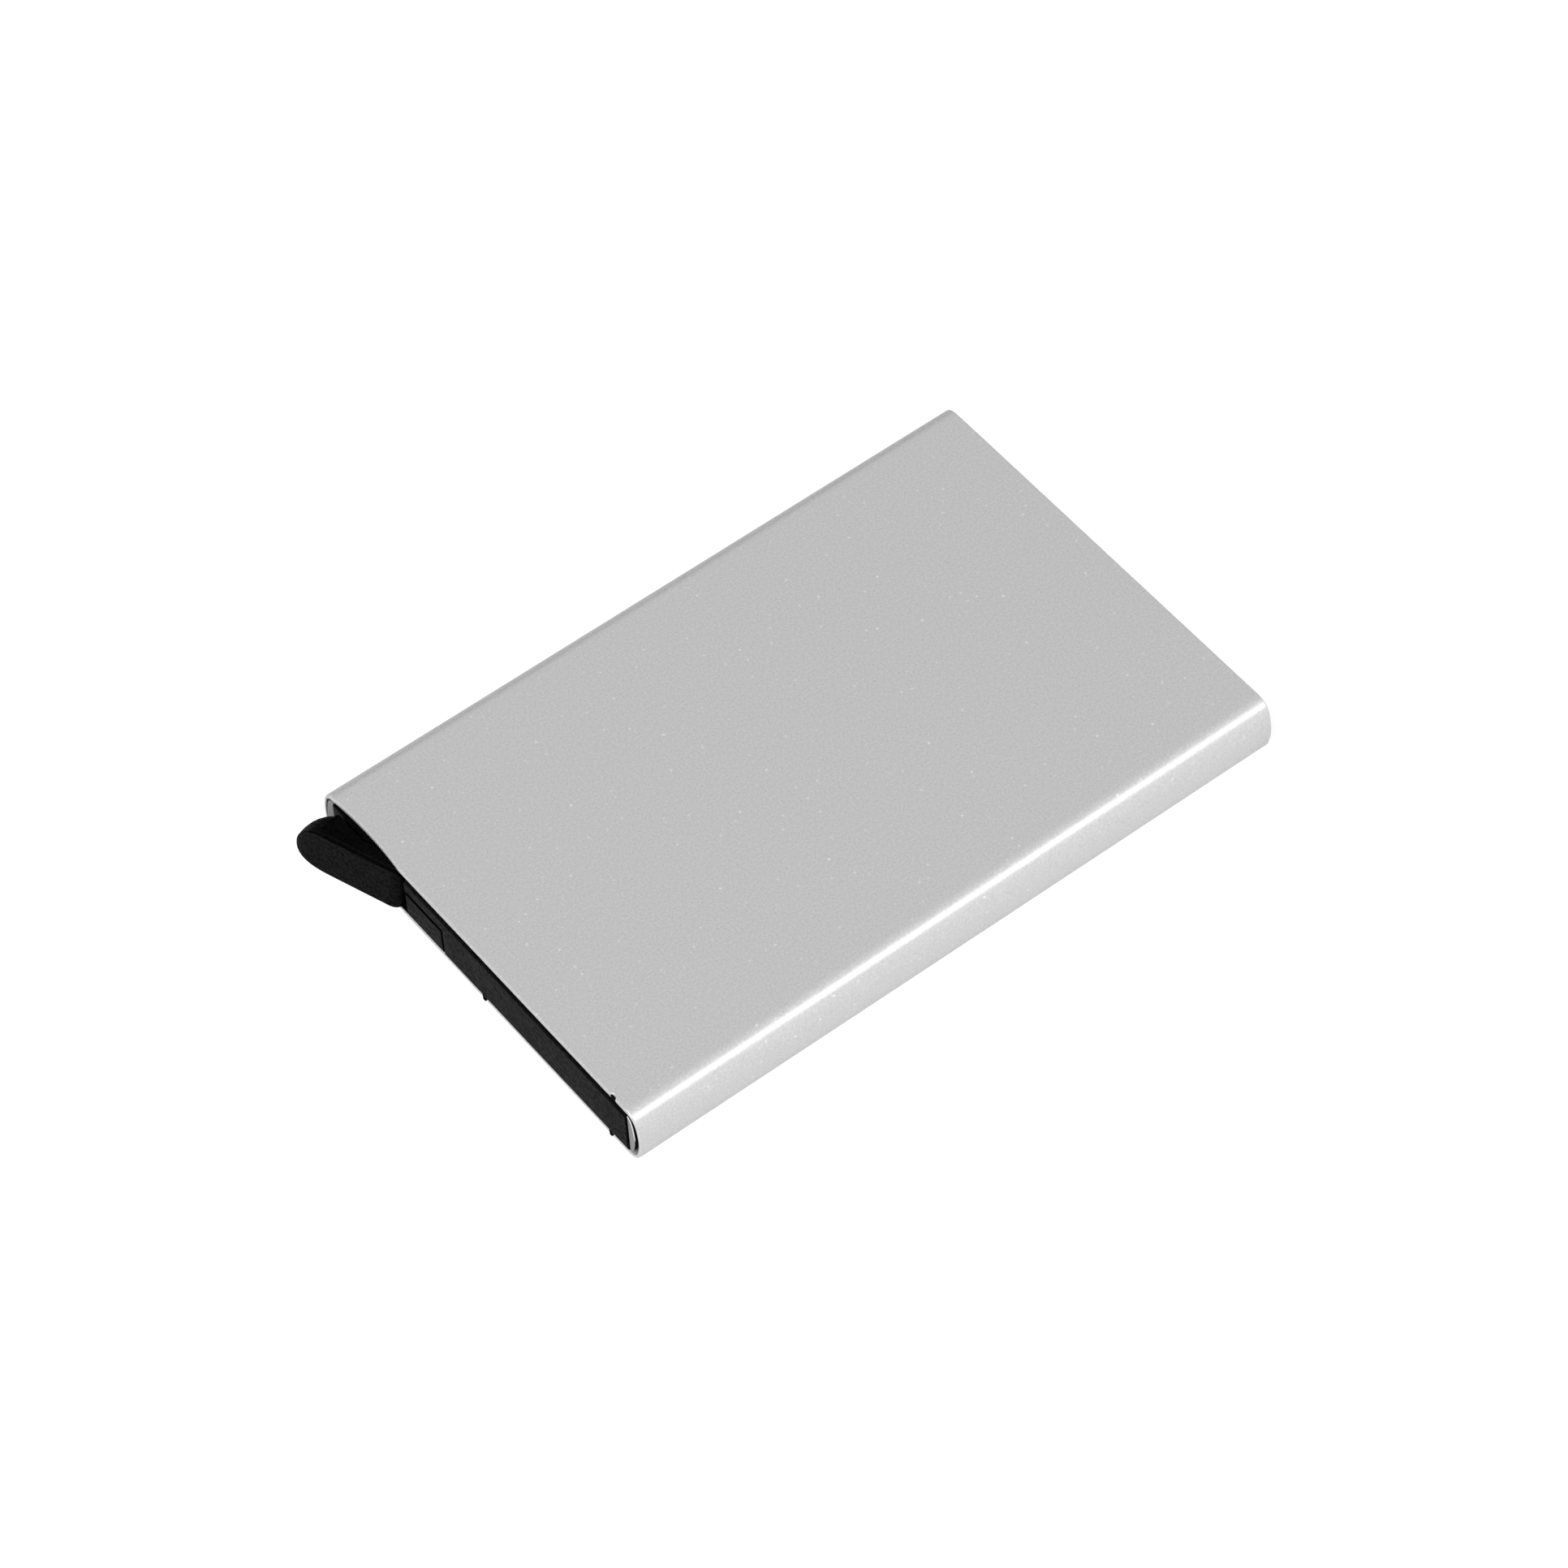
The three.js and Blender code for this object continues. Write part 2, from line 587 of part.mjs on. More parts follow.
// Lever: pad, neck, hub, tongue and stepped arm in one moulding.
function makeLever() {
  const neck = box(capFace - past, pivotX, pivotY - NECK_WIDTH / 2, pivotY + NECK_WIDTH / 2, hubLow, hubHigh);
  const hub = disc(pivotX, pivotY, HUB_RADIUS, hubLow, hubHigh);
  const section = faceSection(capFace + TONGUE_SINK, armBack + past, leverLow, tongueTop, CAP_EDGE, 0);
  const grooveStart = padRight - GROOVE_WIDTH;
  const grooveFloor = capFace + GROOVE_DEPTH;
  const grooveLow = leverLow + GROOVE_SILL;
  const grooveEnd = padRight + PAD_CORNER;
  const groove = box(capFace - past, grooveFloor, grooveStart, grooveEnd, grooveLow, SLEEVE_HEIGHT);
  const tongue = beam(section, tongueEnd, pivotY).subtract(groove);
  const web = box(capFace + PAD_CORNER_DEPTH, armBack + past, padRight, pivotY, leverLow, leverHigh);
  const whole = joined([padSolid(), neck, hub, tongue, web, armSolid()]);
  const cuts = [
    earSolid(leverLow - past, hubLow, SWING_GAP),
    earSolid(hubHigh, leverHigh + past, SWING_GAP),
    springSeat(),
    disc(pivotX, pivotY, PIN_RADIUS + PIN_GAP, -past, SLEEVE_HEIGHT + past),
    legHole(0, hubLow - past, hubTop + past),
  ];
  return cuts.reduce((solid, cut) => solid.subtract(cut), whole);
}

function makePin() {
  return disc(pivotX, pivotY, PIN_RADIUS, capLow + FIT_GAP, capHigh - FIT_GAP);
}

const anodised = { color: 0xc4c5c6, roughness: 0.42, metalness: 0.9 };
const greyPlastic = { color: 0x9a9b9c, roughness: 0.5, metalness: 0 };
const blackPlastic = { color: 0x161617, roughness: 0.5, metalness: 0 };
const felt = { color: 0x2b2b2d, roughness: 0.95, metalness: 0 };
const steel = { color: 0xa9abad, roughness: 0.3, metalness: 1 };

const cardCase = new THREE.Group();

function place(name, geometry, finish, group = cardCase) {
  const mesh = new THREE.Mesh(geometry, new THREE.MeshStandardMaterial(finish));
  mesh.name = name;
  group.add(mesh);
  return mesh;
}

place('card_sleeve', geometryOf(makeSleeve()), anodised);
place('side_rail_left', geometryOf(makeRail(1)), greyPlastic);
place('side_rail_right', geometryOf(makeRail(-1)), greyPlastic);
place('felt_strip_left', geometryOf(makeFelt(1)), felt);
place('felt_strip_right', geometryOf(makeFelt(-1)), felt);
place('end_cap', geometryOf(makeEndCap()), blackPlastic);
place('pivot_block', geometryOf(makePivotBlock()), blackPlastic);
place('eject_lever', geometryOf(makeLever()), blackPlastic);
place('lever_pin', geometryOf(makePin()), steel);

const pivot = new THREE.Group();
pivot.position.set(pivotX, pivotY, 0);
cardCase.add(pivot);
place('return_spring', springGeometry(), steel, pivot);

export default cardCase;
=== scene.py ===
import math

import bmesh
import bpy
from mathutils import Matrix, Vector, noise


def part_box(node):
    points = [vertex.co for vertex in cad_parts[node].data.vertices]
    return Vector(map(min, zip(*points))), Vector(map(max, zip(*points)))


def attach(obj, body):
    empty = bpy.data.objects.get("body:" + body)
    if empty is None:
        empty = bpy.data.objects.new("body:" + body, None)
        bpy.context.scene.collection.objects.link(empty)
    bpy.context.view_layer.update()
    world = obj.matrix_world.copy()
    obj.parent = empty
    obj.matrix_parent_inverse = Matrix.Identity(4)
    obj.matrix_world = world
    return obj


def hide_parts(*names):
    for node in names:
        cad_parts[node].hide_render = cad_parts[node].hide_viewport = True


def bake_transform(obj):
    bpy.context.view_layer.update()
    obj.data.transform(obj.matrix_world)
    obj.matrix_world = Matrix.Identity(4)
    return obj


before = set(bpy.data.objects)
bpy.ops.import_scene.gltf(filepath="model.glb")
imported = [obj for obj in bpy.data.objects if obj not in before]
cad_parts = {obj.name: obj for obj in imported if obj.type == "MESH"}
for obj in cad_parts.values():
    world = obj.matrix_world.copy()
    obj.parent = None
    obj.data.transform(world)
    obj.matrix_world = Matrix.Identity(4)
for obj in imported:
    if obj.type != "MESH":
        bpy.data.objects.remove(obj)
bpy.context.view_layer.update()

# Card sleeve: one length of extruded aluminium tube, flat above and below with rounded sides.
# It is cut to length, blasted with fine beads and anodised clear. The rest of the case is
# pushed into its two ends. Sizes here and below are in millimetres.

MM = 0.001
SLEEVE_WALL = 0.7
SIDE_WALL = 0.4
SIDE_RADIUS = 9.5
SIDE_STEPS = 14
BEND_RADIUS = 2.3
BEND_STEPS = 10
RIM_ANGLE = 60
RIM_EDGE = 0.2
RIM_STEPS = 4
RIM_INNER_EDGE = 0.1
RIM_INNER_STEPS = 2
RIM_REACH = 2 * RIM_EDGE
RELIEF_FROM = 15.65
RELIEF_TO = 29.25
RELIEF_DEPTH = 0.36
RELIEF_STEPS = 16
NOTCH_DEPTH = 0.28
NOTCH_STEPS = 8
TOP_NOTCHES = ((-26.6, 0.5),)  # each notch's middle and half its width
BOTTOM_NOTCHES = ((-25.75, 0.33), (-0.85, 0.33), (25.75, 0.33))
SEAM_GAP = 0.001
FLATTENED = 0.0005
SMOOTH_ANGLE = 32

# The pits of blasting are under 0.1 mm, and so are the glints of light on them, which are painted
# # here as near-white dots in the colour: painted highlights. Both are drawn coarser, so that they
# show.
BLAST_GRAIN = 0.30
BLAST_CLOUD = 9.0
BLAST_DEPTH = 0.03
BLAST_STRENGTH = 0.18
# Painted highlights: near-white glint dots in the aluminium's colour.
PAINTED_GLINT_SPACING = 1.25
PAINTED_GLINT_RADIUS = 0.24
PAINTED_GLINT_SHARE = 0.6
SPECK_SPACING = 3.2
SPECK_RADIUS = 0.14
SPECK_SHARE = 0.3
DOT_CORE = 0.3
DOT_UNEVENNESS = 2.0
NOISE_LOW = 0.3
NOISE_HIGH = 0.7
ALUMINIUM_TONES = ((0.30, "#d0d0d0"), (0.72, "#e6e6e6"))
ALUMINIUM_PAINTED_GLINT = "#fbfbfb"
ALUMINIUM_SPECK = "#787878"
ALUMINIUM_METAL = 0.25
ALUMINIUM_ROUGH_LEAST = 0.28
ALUMINIUM_ROUGH_MOST = 0.30
COLOUR_A, COLOUR_B, COLOUR_MIXED = 6, 7, 2  # the sockets for colours of a Mix node


def linear(code):
    """An sRGB hex colour as the linear values that a shader takes."""
    parts = [int(code[i:i + 2], 16) / 255 for i in (1, 3, 5)]
    return [p / 12.92 if p <= 0.04045 else ((p + 0.055) / 1.055) ** 2.4 for p in parts] + [1.0]


def per_mm(size):
    """The scale of a pattern whose features are that many millimetres across."""
    return 1 / (size * MM)


def node(tree, kind, inputs=None, **settings):
    """Adds a shader node; each input is given a value or the socket that feeds it."""
    made = tree.nodes.new("ShaderNode" + kind)
    for name, value in settings.items():
        setattr(made, name, value)
    for socket, value in (inputs or {}).items():
        if isinstance(value, bpy.types.NodeSocket):
            tree.links.new(value, made.inputs[socket])
        else:
            made.inputs[socket].default_value = value
    return made


def new_material(name):
    """An empty material and its node tree."""
    made = bpy.data.materials.new(name)
    made.use_nodes = True
    made.node_tree.nodes.clear()
    return made, made.node_tree


def dots(tree, at, spacing, radius, share):
    """Soft round dots of uneven strength, scattered at random; a share of the places has one."""
    cells = node(tree, "TexVoronoi", {"Vector": at, "Scale": per_mm(spacing), "Randomness": 1.0})
    chance = node(tree, "SeparateColor", {"Color": cells.outputs["Color"]})
    some = node(
        tree, "MapRange", {"Value": chance.outputs[0], "From Min": 1 - share, "From Max": 1.0},
    )
    near = node(
        tree, "MapRange",
        {
            "Value": cells.outputs["Distance"], "From Min": radius / spacing,
            "From Max": DOT_CORE * radius / spacing,
        },
    )
    uneven = node(tree, "Math", {0: some.outputs[0], 1: DOT_UNEVENNESS}, operation="POWER")
    dot = node(tree, "Math", {0: uneven.outputs[0], 1: near.outputs[0]}, operation="MULTIPLY")
    return dot.outputs[0]


# Clear anodised aluminium, bead blasted: a satin metal, with painted highlights: near-white glints
# painted into its colour.
anodised, tree = new_material("anodised_aluminium_blasted")
at = node(tree, "TexCoord").outputs["Object"]
grain = node(
    tree, "TexNoise",
    {"Vector": at, "Scale": per_mm(BLAST_GRAIN), "Detail": 3.0, "Roughness": 0.65},
)
cloud = node(tree, "TexNoise", {"Vector": at, "Scale": per_mm(BLAST_CLOUD), "Detail": 2.0})
tone = node(tree, "ValToRGB", {"Fac": grain.outputs["Fac"]})
for stop, (level, colour) in zip(tone.color_ramp.elements, ALUMINIUM_TONES):
    stop.position = level
    stop.color = linear(colour)
# Painted highlights: scattered near-white glint dots laid over the metal's tone.
painted_glints = dots(tree, at, PAINTED_GLINT_SPACING, PAINTED_GLINT_RADIUS, PAINTED_GLINT_SHARE)
specks = dots(tree, at, SPECK_SPACING, SPECK_RADIUS, SPECK_SHARE)
glint_painted = node(
    tree, "Mix",
    {0: painted_glints, COLOUR_A: tone.outputs["Color"], COLOUR_B: linear(ALUMINIUM_PAINTED_GLINT)},
    data_type="RGBA",
)
speckled = node(
    tree, "Mix",
    {0: specks, COLOUR_A: glint_painted.outputs[COLOUR_MIXED], COLOUR_B: linear(ALUMINIUM_SPECK)},
    data_type="RGBA",
)
satin = node(
    tree, "MapRange",
    {
        "Value": cloud.outputs["Fac"], "From Min": NOISE_LOW, "From Max": NOISE_HIGH,
        "To Min": ALUMINIUM_ROUGH_LEAST, "To Max": ALUMINIUM_ROUGH_MOST,
    },
)
relief = node(
    tree, "Bump",
    {"Height": grain.outputs["Fac"], "Strength": BLAST_STRENGTH, "Distance": BLAST_DEPTH * MM},
)
metal = node(
    tree, "BsdfPrincipled",
    {
        "Base Color": speckled.outputs[COLOUR_MIXED], "Metallic": ALUMINIUM_METAL,
        "Roughness": satin.outputs[0], "Normal": relief.outputs[0],
    },
)
node(tree, "OutputMaterial", {"Surface": metal.outputs[0]})

sleeve_low, sleeve_high = (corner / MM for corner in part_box("card_sleeve"))


def half_section(bm, inset, side_inset):
    """Half the sleeve's outline at its lever end, from the top's middle round to the bottom's."""
    height = sleeve_high.z
    side_y = sleeve_low.y + SIDE_RADIUS - inset + side_inset
    rise = height / 2 - BEND_RADIUS
    bend_y = side_y - math.sqrt((SIDE_RADIUS - BEND_RADIUS) ** 2 - rise ** 2)
    side_turn = math.atan2(rise, side_y - bend_y)
    bend_turn = math.pi / 2 - side_turn
    bm.verts.new((sleeve_low.x, bend_y, height - inset))
    turns = (
        (bend_y, height - BEND_RADIUS, bend_turn, BEND_STEPS),
        (side_y, height / 2, 2 * side_turn, SIDE_STEPS),
        (bend_y, BEND_RADIUS, bend_turn, BEND_STEPS),
    )
    bm.verts.ensure_lookup_table()
    first = last = bm.verts[-1]
    for y, z, angle, steps in turns:
        made = bmesh.ops.spin(
            bm, geom=[last], cent=(sleeve_low.x, y, z), axis=(1, 0, 0), dvec=(0, 0, 0),
            angle=angle, steps=steps, use_merge=False, use_duplicate=False,
        )
        last = next(item for item in made["geom_last"] if isinstance(item, bmesh.types.BMVert))
    for end in (first, last):
        made = bmesh.ops.extrude_vert_indiv(bm, verts=[end])
        made["verts"][0].co.y = 0


def end_setback(y, notches):
    """How far the sleeve's lever end stands back: the long arc by the pad, and the snap notches."""
    half = (RELIEF_TO - RELIEF_FROM) / 2
    radius = (half ** 2 + RELIEF_DEPTH ** 2) / (2 * RELIEF_DEPTH)
    off = min(half, abs(y - (RELIEF_FROM + RELIEF_TO) / 2))
    setback = math.sqrt(radius ** 2 - off ** 2) - (radius - RELIEF_DEPTH)
    for notch_y, half_width in notches:
        share = min(1, abs(y - notch_y) / half_width)
        setback = max(setback, NOTCH_DEPTH * math.sqrt(1 - share ** 2))
    return setback


def on_outside(edge):
    """Whether an edge of a cut end is on the tube's outside, where the wall faces outwards."""
    wall = min(edge.link_faces, key=lambda face: abs(face.normal.x))
    centre = wall.calc_center_median()
    return wall.normal.y * centre.y + wall.normal.z * (centre.z - sleeve_high.z / 2) > 0


def sharp_edges(bm, least_angle, least_length=0, wanted=lambda middle: True):
    """The edges that stand at an angle, are long enough to round and lie where they are wanted."""
    found = []
    for edge in bm.edges:
        if len(edge.link_faces) != 2 or edge.calc_length() < least_length:
            continue
        middle = (edge.verts[0].co + edge.verts[1].co) / 2
        if edge.calc_face_angle() > math.radians(least_angle) and wanted(middle):
            found.append(edge)
    return found


def round_edges(bm, edges, width, segments):
    """Rounds edges, or breaks them with one facet, and gives the new faces."""
    made = bmesh.ops.bevel(
        bm, geom=edges, offset=width, offset_type="OFFSET", affect="EDGES",
        segments=segments, profile=0.5, material=-1, clamp_overlap=False,
    )
    return made["faces"]


def place(name, bm, finish, smooth_angle=SMOOTH_ANGLE):
    """Turns a finished shape into an object of the scene, without its flattened faces."""
    bmesh.ops.dissolve_degenerate(bm, dist=FLATTENED, edges=bm.edges)
    bmesh.ops.scale(bm, vec=(MM,) * 3, verts=bm.verts)
    mesh = bpy.data.meshes.new(name)
    bm.to_mesh(mesh)
    bm.free()
    mesh.materials.append(finish)
    mesh.shade_smooth()
    mesh.set_sharp_from_angle(angle=math.radians(smooth_angle))
    made = bpy.data.objects.new(name, mesh)
    bpy.context.scene.collection.objects.link(made)
    even = made.modifiers.new("even_normals", "WEIGHTED_NORMAL")
    even.keep_sharp = True
    return made


bm = bmesh.new()
half_section(bm, 0, 0)
half_section(bm, SLEEVE_WALL, SIDE_WALL)
bmesh.ops.mirror(bm, geom=bm.verts[:] + bm.edges[:], axis="Y", merge_dist=SEAM_GAP)
bmesh.ops.bridge_loops(bm, edges=bm.edges)
length = sleeve_high.x - sleeve_low.x
made = bmesh.ops.extrude_face_region(bm, geom=bm.faces[:])
far_verts = [item for item in made["geom"] if isinstance(item, bmesh.types.BMVert)]
bmesh.ops.translate(bm, vec=(length, 0, 0), verts=far_verts)
bmesh.ops.recalc_face_normals(bm, faces=bm.faces)
outer_rims = [edge for edge in sharp_edges(bm, RIM_ANGLE) if on_outside(edge)]
round_edges(bm, outer_rims, RIM_EDGE, RIM_STEPS)
round_edges(bm, sharp_edges(bm, RIM_ANGLE), RIM_INNER_EDGE, RIM_INNER_STEPS)
cuts = [
    RELIEF_FROM + (RELIEF_TO - RELIEF_FROM) * step / RELIEF_STEPS
    for step in range(RELIEF_STEPS + 1)
]
for notch_y, half_width in TOP_NOTCHES + BOTTOM_NOTCHES:
    cuts += [
        notch_y + half_width * math.cos(math.pi * step / NOTCH_STEPS)
        for step in range(NOTCH_STEPS + 1)
    ]
for y in cuts:
    bmesh.ops.bisect_plane(
        bm, geom=bm.verts[:] + bm.edges[:] + bm.faces[:], dist=SEAM_GAP,
        plane_co=(0, y, 0), plane_no=(0, 1, 0),
    )
for vert in bm.verts:
    if vert.co.x < sleeve_low.x + RIM_REACH:
        notches = TOP_NOTCHES if vert.co.z > sleeve_high.z / 2 else BOTTOM_NOTCHES
        vert.co.x += end_setback(vert.co.y, notches)
sleeve = place("sleeve", bm, anodised)
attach(sleeve, "case")
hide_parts("card_sleeve")

# Side rails: two extruded bars of grey plastic that fill the rounded sides and give the cards
# # a straight wall. They are pushed into the sleeve, and their cut ends show at both ends of it.
# # Their backs are drawn black: painted shade in the gap between them and the sleeve.

RAIL_ANGLE = 50
RAIL_EDGE = 0.1
RAIL_EDGE_STEPS = 2
RAIL_SHORTEST = 0.15
RAIL_CHAMFER = 0.22
RAIL_CHAMFER_STEPS = 2
MERGED = 0.002
FLAT_ANGLE = 0.5
END_FACING = 0.5
CUT_FACING = 0.65
GREY_FINISH, PAINTED_HIGHLIGHT_FINISH, GAP_SHADE_FINISH = 0, 1, 2

# The marks of the die and the saw, and the fine bumps of the black sheet of painted shade, are
# # 0.1 mm and less. They are drawn coarser, so that they show.
RAIL_GRAIN = 0.35
RAIL_STRETCH = (0.08, 1.0, 1.0)
RAIL_TONES = ((NOISE_LOW, "#8f8f8f"), (NOISE_HIGH, "#9a9a9a"))
# Near-white tones of the near rail's end chamfer: a painted highlight.
RAIL_PAINTED_HIGHLIGHT_TONES = ((NOISE_LOW, "#e9e9e9"), (NOISE_HIGH, "#f8f8f8"))
RAIL_MARK_DEPTH = 0.02
RAIL_STRENGTH = 0.15
RAIL_CUT_STRENGTH = 0.3
RAIL_ROUGH = 0.5
RAIL_CUT_ROUGH = 0.6
POLYSTYRENE_IOR = 1.55
# Near-black tones of the sheet on the rails' backs: painted shade in the gap.
GAP_SHADE_TONES = ((NOISE_LOW, "#060606"), (NOISE_HIGH, "#0b0b0b"))
GAP_SHADE_GRAIN = 0.3
GAP_SHADE_DEPTH = 0.03
GAP_SHADE_STRENGTH = 0.4
GAP_SHADE_ROUGH = 0.9
GAP_SHADE_SHINE = 0.1
GAP_SHADE_IOR = 1.5

# Extruded grey polystyrene: satin, with faint lines along its length.
grey, tree = new_material("grey_polystyrene_extruded")
at = node(tree, "TexCoord").outputs["Object"]
stretched = node(tree, "Mapping", {"Vector": at, "Scale": RAIL_STRETCH})
drawn = node(
    tree, "TexNoise",
    {"Vector": stretched.outputs[0], "Scale": per_mm(RAIL_GRAIN), "Detail": 3.0},
)
tone = node(tree, "ValToRGB", {"Fac": drawn.outputs["Fac"]})
for stop, (level, colour) in zip(tone.color_ramp.elements, RAIL_TONES):
    stop.position = level
    stop.color = linear(colour)
relief = node(
    tree, "Bump",
    {"Height": drawn.outputs["Fac"], "Strength": RAIL_STRENGTH, "Distance": RAIL_MARK_DEPTH * MM},
)
plastic = node(
    tree, "BsdfPrincipled",
    {
        "Base Color": tone.outputs["Color"], "Roughness": RAIL_ROUGH, "IOR": POLYSTYRENE_IOR,
        "Normal": relief.outputs[0],
    },
)
node(tree, "OutputMaterial", {"Surface": plastic.outputs[0]})

# The same plastic on the chamfer at the near rail's end, painted near white: a painted highlight,
# rough.
painted_highlight_plastic, tree = new_material("polystyrene_painted_highlight")
at = node(tree, "TexCoord").outputs["Object"]
highlight_grain = node(tree, "TexNoise", {"Vector": at, "Scale": per_mm(RAIL_GRAIN), "Detail": 3.0})
tone = node(tree, "ValToRGB", {"Fac": highlight_grain.outputs["Fac"]})
for stop, (level, colour) in zip(tone.color_ramp.elements, RAIL_PAINTED_HIGHLIGHT_TONES):
    stop.position = level
    stop.color = linear(colour)
relief = node(
    tree, "Bump",
    {
        "Height": highlight_grain.outputs["Fac"], "Strength": RAIL_CUT_STRENGTH,
        "Distance": RAIL_MARK_DEPTH * MM,
    },
)
plastic = node(
    tree, "BsdfPrincipled",
    {
        "Base Color": tone.outputs["Color"], "Roughness": RAIL_CUT_ROUGH, "IOR": POLYSTYRENE_IOR,
        "Normal": relief.outputs[0],
    },
)
node(tree, "OutputMaterial", {"Surface": plastic.outputs[0]})

# A black sheet on the rail's back: painted shade for the dark gap between rail and sleeve, matt,
# with fine bumps.
gap_shade_sheet, tree = new_material("black_sheet_painted_gap_shade")
at = node(tree, "TexCoord").outputs["Object"]
cells = node(tree, "TexNoise", {"Vector": at, "Scale": per_mm(GAP_SHADE_GRAIN), "Detail": 2.0})
tone = node(tree, "ValToRGB", {"Fac": cells.outputs["Fac"]})
for stop, (level, colour) in zip(tone.color_ramp.elements, GAP_SHADE_TONES):
    stop.position = level
    stop.color = linear(colour)
relief = node(
    tree, "Bump",
    {"Height": cells.outputs["Fac"], "Strength": GAP_SHADE_STRENGTH, "Distance": GAP_SHADE_DEPTH * MM},
)
gap_shade_bsdf = node(
    tree, "BsdfPrincipled",
    {
        "Base Color": tone.outputs["Color"], "Roughness": GAP_SHADE_ROUGH, "IOR": GAP_SHADE_IOR,
        "Specular IOR Level": GAP_SHADE_SHINE, "Normal": relief.outputs[0],
    },
)
node(tree, "OutputMaterial", {"Surface": gap_shade_bsdf.outputs[0]})


def solid_of(name):
    """A copy of a CAD node in millimetres, with its loose triangles merged into whole faces."""
    bm = bmesh.new()
    bm.from_mesh(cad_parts[name].data)
    bmesh.ops.scale(bm, vec=(1 / MM,) * 3, verts=bm.verts)
    bmesh.ops.remove_doubles(bm, verts=bm.verts, dist=MERGED)
    bmesh.ops.dissolve_limit(
        bm, angle_limit=math.radians(FLAT_ANGLE), verts=bm.verts, edges=bm.edges,
    )
    return bm


half_height = sleeve_high.z / 2
for side in ("left", "right"):
    bm = solid_of("side_rail_" + side)
    back_y = min(abs(vert.co.y) for vert in bm.verts) + RAIL_EDGE
    # The rail's back, facing the sleeve, is painted black: painted shade in the gap.
    for face in bm.faces:
        if abs(face.normal.x) < END_FACING and abs(face.calc_center_median().y) > back_y:
            face.material_index = GAP_SHADE_FINISH
    end_edges = sharp_edges(
        bm, RAIL_ANGLE, 0, lambda middle: abs(middle.y) > back_y and middle.z > half_height,
    )
    # The near rail's end chamfer is painted near white, a painted highlight; its other faces get
    # the black sheet of painted shade.
    if side == "right":
        for face in round_edges(bm, end_edges, RAIL_CHAMFER, RAIL_CHAMFER_STEPS):
            on_end = abs(face.normal.x) > CUT_FACING
            face.material_index = PAINTED_HIGHLIGHT_FINISH if on_end else GAP_SHADE_FINISH
    else:
        for face in round_edges(bm, end_edges, RAIL_EDGE, 1):
            face.material_index = GREY_FINISH
    wall_edges = sharp_edges(
        bm, RAIL_ANGLE, RAIL_SHORTEST, lambda middle: abs(middle.y) < back_y,
    )
    round_edges(bm, wall_edges, RAIL_EDGE, RAIL_EDGE_STEPS)
    rail = place("rail_" + side, bm, grey)
    rail.data.materials.append(painted_highlight_plastic)
    rail.data.materials.append(gap_shade_sheet)
    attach(rail, "case")
    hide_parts("side_rail_" + side)

# Felt strips: dark wool felt, cut in strips and glued to the flat faces of the rails.
# They hold the cards by their edges, so that they stay where the lever has pushed them.

FELT_EDGE = 0.45
FELT_EDGE_STEPS = 3
FELT_CUTS_LONG = 90
FELT_CUTS_HIGH = 8
FELT_LUMP = 0.07
FELT_LUMP_SIZE = 1.3
FELT_SEED = 7  # so that the lumps fall the same way each run
FELT_GLUED = 0.01
FELT_SMOOTH_ANGLE = 60

# Wool fibres are about 0.03 mm thick. They are drawn as thicker tufts, so that they show.
FIBRE_WIDTH = 0.16
FIBRE_SWIRL = 2.0
FIBRE_BEND = 0.0012
FIBRE_DEPTH = 0.12
FIBRE_STRENGTH = 0.8
FELT_TONES = ((0.35, "#222224"), (NOISE_HIGH, "#3c3c3f"))
FELT_ROUGH = 0.95
FELT_SHEEN = 0.35
FELT_SHEEN_ROUGH = 0.5
WOOL_IOR = 1.5
VECTOR_A, VECTOR_B, VECTOR_MIXED = 4, 5, 1  # the sockets for places of a Mix node

# Pressed wool felt: matt and dark, mottled by its fibres and lighter where light grazes the nap.
felt, tree = new_material("wool_felt_dark_grey")
at = node(tree, "TexCoord").outputs["Object"]
swirl = node(tree, "TexNoise", {"Vector": at, "Scale": per_mm(FIBRE_SWIRL), "Detail": 1.0})
bent = node(
    tree, "Mix", {0: FIBRE_BEND, VECTOR_A: at, VECTOR_B: swirl.outputs["Color"]},
    data_type="VECTOR",
)
fibres = node(
    tree, "TexNoise",
    {
        "Vector": bent.outputs[VECTOR_MIXED], "Scale": per_mm(FIBRE_WIDTH), "Detail": 4.0,
        "Roughness": 0.7,
    },
)
tone = node(tree, "ValToRGB", {"Fac": fibres.outputs["Fac"]})
for stop, (level, colour) in zip(tone.color_ramp.elements, FELT_TONES):
    stop.position = level
    stop.color = linear(colour)
relief = node(
    tree, "Bump",
    {"Height": fibres.outputs["Fac"], "Strength": FIBRE_STRENGTH, "Distance": FIBRE_DEPTH * MM},
)
wool = node(
    tree, "BsdfPrincipled",
    {
        "Base Color": tone.outputs["Color"], "Roughness": FELT_ROUGH, "IOR": WOOL_IOR,
        "Sheen Weight": FELT_SHEEN, "Sheen Roughness": FELT_SHEEN_ROUGH,
        "Normal": relief.outputs[0],
    },
)
node(tree, "OutputMaterial", {"Surface": wool.outputs[0]})

